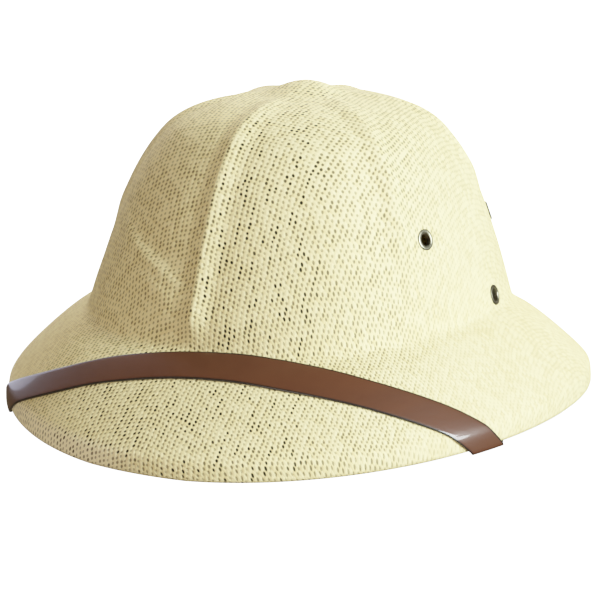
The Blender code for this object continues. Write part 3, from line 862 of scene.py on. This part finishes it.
class StrapPath:
    """The way of the strap over the wall: places are (angle, travel), with travel 0 under the brim's edge."""

    def __init__(self, wall, sizes):
        self.wall = wall
        self.sizes = sizes
        radius = wall.sizes.wall / 2 + CLEARANCE + sizes.thickness / 2
        self.turn_half = math.pi * radius / 2

    def point(self, angle, travel, lift):
        """Point above 0 on top of the brim, below 0 inside, at a lift above the wall."""
        wall = self.wall
        if travel > self.turn_half:
            return wall.point(angle, travel - self.turn_half, lift)
        if travel < -self.turn_half:
            return wall.point(angle, -travel - self.turn_half, -wall.sizes.wall - lift)
        line, _ = wall.section(angle)
        bend = math.pi / 2 * (1 - travel / self.turn_half)
        radius = wall.sizes.wall / 2 + lift
        normal = section_normal(line, 0)
        down = Vector((normal.y, -normal.x))
        middle = line[0] - Vector((wall.sizes.wall / 2, 0))
        place = middle + (normal * math.cos(bend) + down * math.sin(bend)) * radius
        return wall.in_space(angle, place.x, place.y)

    def brim_travel(self, angle):
        """Travel from the middle of the bend round the brim's edge up to the crown's base."""
        return self.wall.brim_length(angle) + self.turn_half

    def face_point(self, low, high, share, lift):
        """Point across the strap, which lies flat where the wall is hollow under it."""
        place = low.lerp(high, share)
        point = self.point(place.x, place.y, lift)
        outward = self.point(place.x, place.y, lift + self.sizes.thickness) - point
        flat = self.point(low.x, low.y, lift).lerp(self.point(high.x, high.y, lift), share)
        return flat if (flat - point).dot(outward) > 0 else point

    def leg(self, start, end):
        """True lengths, round the hat and along its section, of a short step of the route."""
        middle = self.point((start.x + end.x) / 2, (start.y + end.y) / 2, 0)
        reach = math.hypot(middle.x, middle.y - self.wall.centre_y)
        return Vector(((end.x - start.x) * reach, end.y - start.y))

    def route(self):
        """Middle of the strap from the right low eyelet to the left one, with a tail past each."""
        anchors = {}
        for _, angle_deg, up, holds_strap in EYELETS:
            if holds_strap:
                for _, side in SIDES:
                    _, angle, distance, _ = self.wall.eyelet_place(angle_deg, up, side)
                    anchors[side] = Vector((angle, -distance - self.turn_half))
        corners = [anchors[-1]]
        for angle_deg, share in STRAP_ROUTE:
            angle = math.radians(angle_deg)
            corners.append(Vector((angle, share * self.brim_travel(angle))))
        corners.append(anchors[1])
        route = smooth_curve(corners, ROUTE_STEPS)
        for end, inner in ((0, 1), (-1, -2)):
            leg = self.leg(route[inner], route[end])
            tail = route[end] + (route[end] - route[inner]) * self.sizes.tail / leg.length
            route.insert(0 if end == 0 else len(route), tail)
        return route

    def border(self, route, side):
        """One long side of the strap, half its width beside the route."""
        border = []
        for index, point in enumerate(route):
            before = route[max(index - 1, 0)]
            after = route[min(index + 1, len(route) - 1)]
            leg = self.leg(before, after)
            reach = leg.x / (after.x - before.x)
            share = point.y / self.brim_travel(point.x)
            bridging = smooth_step(share, STRAP_BRIDGING_START, STRAP_BRIDGING_WHOLE)
            half_width = self.sizes.width / 2 * (1 + STRAP_BRIDGING_EXTRA * bridging)
            across = Vector((-leg.y, leg.x)).normalized() * side * half_width
            border.append(Vector((point.x + across.x / reach, point.y + across.y)))
        return border

    def stations(self, border):
        """Points along a border, of which those round the two bends of the wall lie level on both borders."""
        edge_travels = [point.y for point in border]
        base_travels = [point.y + self.brim_travel(point.x) for point in border]
        edge_levels = spread(-self.turn_half, self.turn_half, STRAP_STEPS_AT_BEND)
        edge_levels += spread(self.turn_half, self.turn_half + STRAP_RIM_REACH, STRAP_STEPS_AT_RIM)[1:]
        base_levels = spread(-self.sizes.base_bend, self.sizes.base_bend, STRAP_STEPS_AT_BEND)
        ends = []
        for from_end in (False, True):
            base_bend = [crossing(base_travels, level, from_end) for level in base_levels]
            edge_bend = [crossing(edge_travels, level, from_end) for level in edge_levels]
            end = len(border) - 1 if from_end else 0
            anchor = spread(end, base_bend[0], STRAP_STEPS_AT_ANCHOR)
            below = spread(base_bend[-1], edge_bend[0], STRAP_STEPS_BELOW)
            ends.append(anchor[:-1] + base_bend + below[1:-1] + edge_bend)
        top = spread(ends[0][-1], ends[1][-1], STRAP_STEPS_ON_TOP)
        points = []
        for place in ends[0] + top[1:-1] + ends[1][::-1]:
            index = min(int(place), len(border) - 2)
            points.append(border[index].lerp(border[index + 1], place - index))
        return points


def crossing(values, level, from_end):
    """Place, as a running number, where a row of values first rises past a level, seen from one end."""
    last = len(values) - 1
    if from_end:
        return last - crossing(values[::-1], level, False)
    for index in range(last):
        if values[index] <= level < values[index + 1]:
            return index + (level - values[index]) / (values[index + 1] - values[index])
    raise ValueError("the strap does not cross the brim's edge or the crown's base")


def spread(start, end, steps):
    """Numbers from start to end, both included."""
    return [start + (end - start) * step / steps for step in range(steps + 1)]


def strap_profile(sizes):
    """Outline across the strap as (across, lift) points, with rounded edges."""
    half = sizes.width / 2
    radius = sizes.edge_radius
    profile = []
    for side, level in ((1, 0), (1, 1), (-1, 1), (-1, 0)):
        middle = (side * (half - radius), radius if level == 0 else sizes.thickness - radius)
        start = {(1, 0): -90, (1, 1): 0, (-1, 1): 90, (-1, 0): 180}[(side, level)]
        for step in range(STRAP_CORNER_STEPS + 1):
            turn = math.radians(start + 90 * step / STRAP_CORNER_STEPS)
            profile.append((middle[0] + radius * math.cos(turn), middle[1] + radius * math.sin(turn)))
        if (side, level) in ((1, 1), (-1, 0)):
            toward = -side * (half - radius)
            lift = sizes.thickness if level == 1 else 0.0
            for across in spread(middle[0], toward, STRAP_FACE_STEPS)[1:-1]:
                profile.append((across, lift))
    return profile


class SUNHELMET_OT_chin_strap(Operator):
    """Make the leather strap over the front of the brim and up inside the crown"""

    bl_idname = "sun_helmet.chin_strap"
    bl_label = "Chin strap"

    def execute(self, context):
        scene = context.scene
        sizes = scene.helmet_strap
        wall = StrawWall(scene.helmet_straw)
        path = StrapPath(wall, sizes)
        route = path.route()
        lower = path.stations(path.border(route, -1))
        upper = path.stations(path.border(route, 1))
        profile = strap_profile(sizes)
        shape = bmesh.new()
        rings = []
        places = []
        length = 0.0
        before = None
        for low, high in zip(lower, upper):
            middle = (low + high) / 2
            centre = path.point(middle.x, middle.y, CLEARANCE)
            length += (centre - before).length if before else 0.0
            before = centre
            ring = []
            for across, lift in profile:
                corner = path.face_point(low, high, across / sizes.width + 0.5, CLEARANCE + lift)
                ring.append(shape.verts.new(corner))
                places.append((length, across))
            rings.append(ring)
        join_rings(shape, rings)
        shape.faces.new(rings[0])
        shape.faces.new(rings[-1])
        strap = finished_piece("leather_strap", shape, {"strap": places}, plated_leather(sizes))
        cut_holes(strap, hole_cutter(wall, scene.helmet_eyelet, sizes))
        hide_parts("chin_strap")
        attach(strap, "root")
        return {"FINISHED"}


def eyelet_profile(sizes, grip):
    """Closed (radius, height) profile of an eyelet with a rolled flange, with its outer seat at height 0."""
    hole, barrel, flange = sizes.hole_radius, sizes.barrel_radius, sizes.flange_radius
    rise = sizes.flange_rise
    seat = sizes.seat_gap
    inner = -grip - seat
    profile = [(hole, seat + ROLL_FOOT * rise)]
    for step in range(ROLL_STEPS + 1):
        turn = math.pi * (1 - step / ROLL_STEPS)
        radius = hole + (flange - hole) * (1 - ROLL_HALF_WIDTH + ROLL_HALF_WIDTH * math.cos(turn))
        profile.append((radius, seat + rise * (ROLL_FOOT + (1 - ROLL_FOOT) * math.sin(turn))))
    profile += [(flange, seat + 0.1 * rise), (flange - OUTER_BEVEL, seat), (barrel, seat), (barrel, inner)]
    # The flange inside the hat is flat and half as high
    profile += [(flange, inner), (flange, inner - 0.3 * rise), (flange - INNER_BEVEL, inner - 0.5 * rise)]
    profile += [(hole + HOLE_BEVEL, inner - 0.5 * rise), (hole, inner - 0.2 * rise)]
    return profile


class SUNHELMET_OT_eyelets(Operator):
    """Make the plated eyelets of both sides"""

    bl_idname = "sun_helmet.eyelets"
    bl_label = "Eyelets"

    def execute(self, context):
        scene = context.scene
        sizes = scene.helmet_eyelet
        wall = StrawWall(scene.helmet_straw)
        metal = nickel_plated_brass(sizes)
        for place, angle_deg, up, holds_strap in EYELETS:
            grip = wall.sizes.wall + (CLEARANCE + scene.helmet_strap.thickness if holds_strap else 0)
            for side_name, side in SIDES:
                point, angle, distance, _ = wall.eyelet_place(angle_deg, up, side)
                reach = math.hypot(point.x, point.y - wall.centre_y)
                shape = bmesh.new()
                rings = []
                places = []
                for index in range(EYELET_SEGMENTS):
                    turn = 2 * math.pi * index / EYELET_SEGMENTS
                    ring = []
                    for radius, height in eyelet_profile(sizes, grip):
                        beside = angle + radius * math.cos(turn) / reach
                        corner = wall.point(beside, distance + radius * math.sin(turn), height)
                        ring.append(shape.verts.new(corner))
                        places.append((radius / sizes.flange_radius, height / sizes.flange_rise))
                    rings.append(ring)
                join_rings(shape, rings, closed=True)
                name = f"eyelet_ring_{side_name}_{place}"
                eyelet = finished_piece(name, shape, {"ring": places}, metal, sharp=40)
                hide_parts(f"eyelet_{side_name}_{place}")
                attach(eyelet, "root")
        return {"FINISHED"}


def opal_table(colour):
    """Floor of matt opal acrylic lit from below, which gives the eye nothing but a pale even ground."""
    material = new_material("matt_opal_acrylic")
    finish = {
        "Base Color": (*colour, 1), "Roughness": 0.9, "Emission Color": (1, 1, 1, 1),
        "Emission Strength": TABLE_GLOW,
    }
    show(material, add_node(material, "BsdfPrincipled", finish))
    return material


def unlit_table():
    """The same acrylic where the hat keeps all light off it, which leaves the eye a dark hollow."""
    material = new_material("shaded_opal_acrylic")
    finish = {"Base Color": linear(UNLIT_COLOUR, 1), "Roughness": 0.9}
    show(material, add_node(material, "BsdfPrincipled", finish))
    return material


def ground_disc(name, radius, height, material):
    """Disc that belongs to the stage, at a height just below the hat's rest."""
    shape = bmesh.new()
    bmesh.ops.create_circle(shape, cap_ends=True, segments=STAGE_SEGMENTS, radius=radius)
    disc = object_from(name, shape, material)
    disc.location.z = height
    disc.visible_glossy = False
    return disc


def direction(turn, rise):
    """Direction of something seen from the hat, by its turn from the front and its elevation."""
    return Vector((math.sin(turn) * math.cos(rise), -math.cos(turn) * math.cos(rise), math.sin(rise)))


def add_lamp(name, turn_deg, rise_deg, strength, colour, spread_deg, lights_matt):
    """Far soft lamp that shines from a direction. One that lights no matt surface shows only in gloss."""
    way = direction(math.radians(turn_deg), math.radians(rise_deg))
    lamp = bpy.data.lights.new(name, "SUN")
    lamp.energy = strength
    lamp.angle = math.radians(spread_deg)
    lamp.color = linear(colour)
    light = bpy.data.objects.new(name, lamp)
    bpy.context.scene.collection.objects.link(light)
    light.location = way
    light.rotation_euler = way.to_track_quat("Z", "Y").to_euler()
    light.visible_diffuse = lights_matt


def set_exposure(view):
    """Soft shoulder in the highlights, as a camera exposes a pale product on white."""
    view.view_transform = "Standard"
    view.use_curve_mapping = True
    view.curve_mapping.white_level = (EXPOSED_WHITE, EXPOSED_WHITE, EXPOSED_WHITE)
    curve = view.curve_mapping.curves[3]
    for step in range(1, EXPOSURE_STEPS):
        share = (step / EXPOSURE_STEPS) ** 2
        curve.points.new(share, (1 - math.exp(-share * EXPOSED_WHITE)) / (1 - math.exp(-EXPOSED_WHITE)))
    view.curve_mapping.update()


class SUNHELMET_OT_stage(Operator):
    """Make the floor, the lights and the camera"""

    bl_idname = "sun_helmet.stage"
    bl_label = "Stage"

    def execute(self, context):
        scene = context.scene
        settings = scene.helmet_stage
        floor = ground_disc("floor", STAGE_RADIUS, FLOOR_HEIGHT, opal_table(settings.floor))
        floor.visible_diffuse = False
        # The table under the hat lies in its own shadow, so the hollow is dark
        shade = ground_disc("shade_under_hat", settings.shade_radius, SHADE_HEIGHT, unlit_table())
        shade.visible_camera = False
        world = bpy.data.worlds.new("soft_room")
        world.use_nodes = True
        background = world.node_tree.nodes["Background"]
        background.inputs["Color"].default_value = linear(ROOM_COLOUR, 1)
        background.inputs["Strength"].default_value = ROOM_GLOW
        scene.world = world
        for lamp in LAMPS:
            add_lamp(*lamp)
        set_exposure(scene.view_settings)
        wall = StrawWall(scene.helmet_straw)
        turn, rise = settings.azimuth, settings.elevation
        back = direction(turn, rise)
        right = Vector((math.cos(turn), math.sin(turn), 0))
        target = Vector((0, wall.centre_y, settings.aim_height)) + right * settings.aim_right
        camera = bpy.data.objects.new("camera", bpy.data.cameras.new("camera"))
        scene.collection.objects.link(camera)
        camera.data.sensor_width = SENSOR_WIDTH_MM
        camera.data.lens = settings.lens
        camera.location = target + back * settings.distance
        camera.rotation_euler = (-back).to_track_quat("-Z", "Y").to_euler()
        scene.camera = camera
        return {"FINISHED"}


class SUNHELMET_PT_sidebar(Panel):
    """Lists the steps that make the helmet and what each can be set to"""

    bl_idname = "SUNHELMET_PT_sidebar"
    bl_label = "Straw Sun Helmet"
    bl_space_type = "VIEW_3D"
    bl_region_type = "UI"
    bl_category = "Sun Helmet"

    def draw(self, context):
        for operator, group in STEPS:
            self.layout.operator(operator.bl_idname)
            settings = getattr(context.scene, group)
            for name in settings.__annotations__:
                self.layout.prop(settings, name)


STEPS = (
    (SUNHELMET_OT_straw_body, "helmet_straw"),
    (SUNHELMET_OT_chin_strap, "helmet_strap"),
    (SUNHELMET_OT_eyelets, "helmet_eyelet"),
    (SUNHELMET_OT_stage, "helmet_stage"),
)
GROUPS = {
    "helmet_straw": StrawSettings,
    "helmet_strap": StrapSettings,
    "helmet_eyelet": EyeletSettings,
    "helmet_stage": StageSettings,
}


def register():
    """Register the settings, the steps and the panel."""
    for name, group in GROUPS.items():
        bpy.utils.register_class(group)
        setattr(bpy.types.Scene, name, PointerProperty(type=group))
    for operator, _ in STEPS:
        bpy.utils.register_class(operator)
    bpy.utils.register_class(SUNHELMET_PT_sidebar)


def unregister():
    """Remove the panel, the steps and the settings."""
    bpy.utils.unregister_class(SUNHELMET_PT_sidebar)
    for operator, _ in reversed(STEPS):
        bpy.utils.unregister_class(operator)
    for name, group in reversed(GROUPS.items()):
        delattr(bpy.types.Scene, name)
        bpy.utils.unregister_class(group)


def main():
    """Make the helmet around the frame."""
    register()
    bpy.ops.sun_helmet.straw_body()
    bpy.ops.sun_helmet.chin_strap()
    bpy.ops.sun_helmet.eyelets()
    bpy.ops.sun_helmet.stage()


if __name__ == "__main__":
    main()
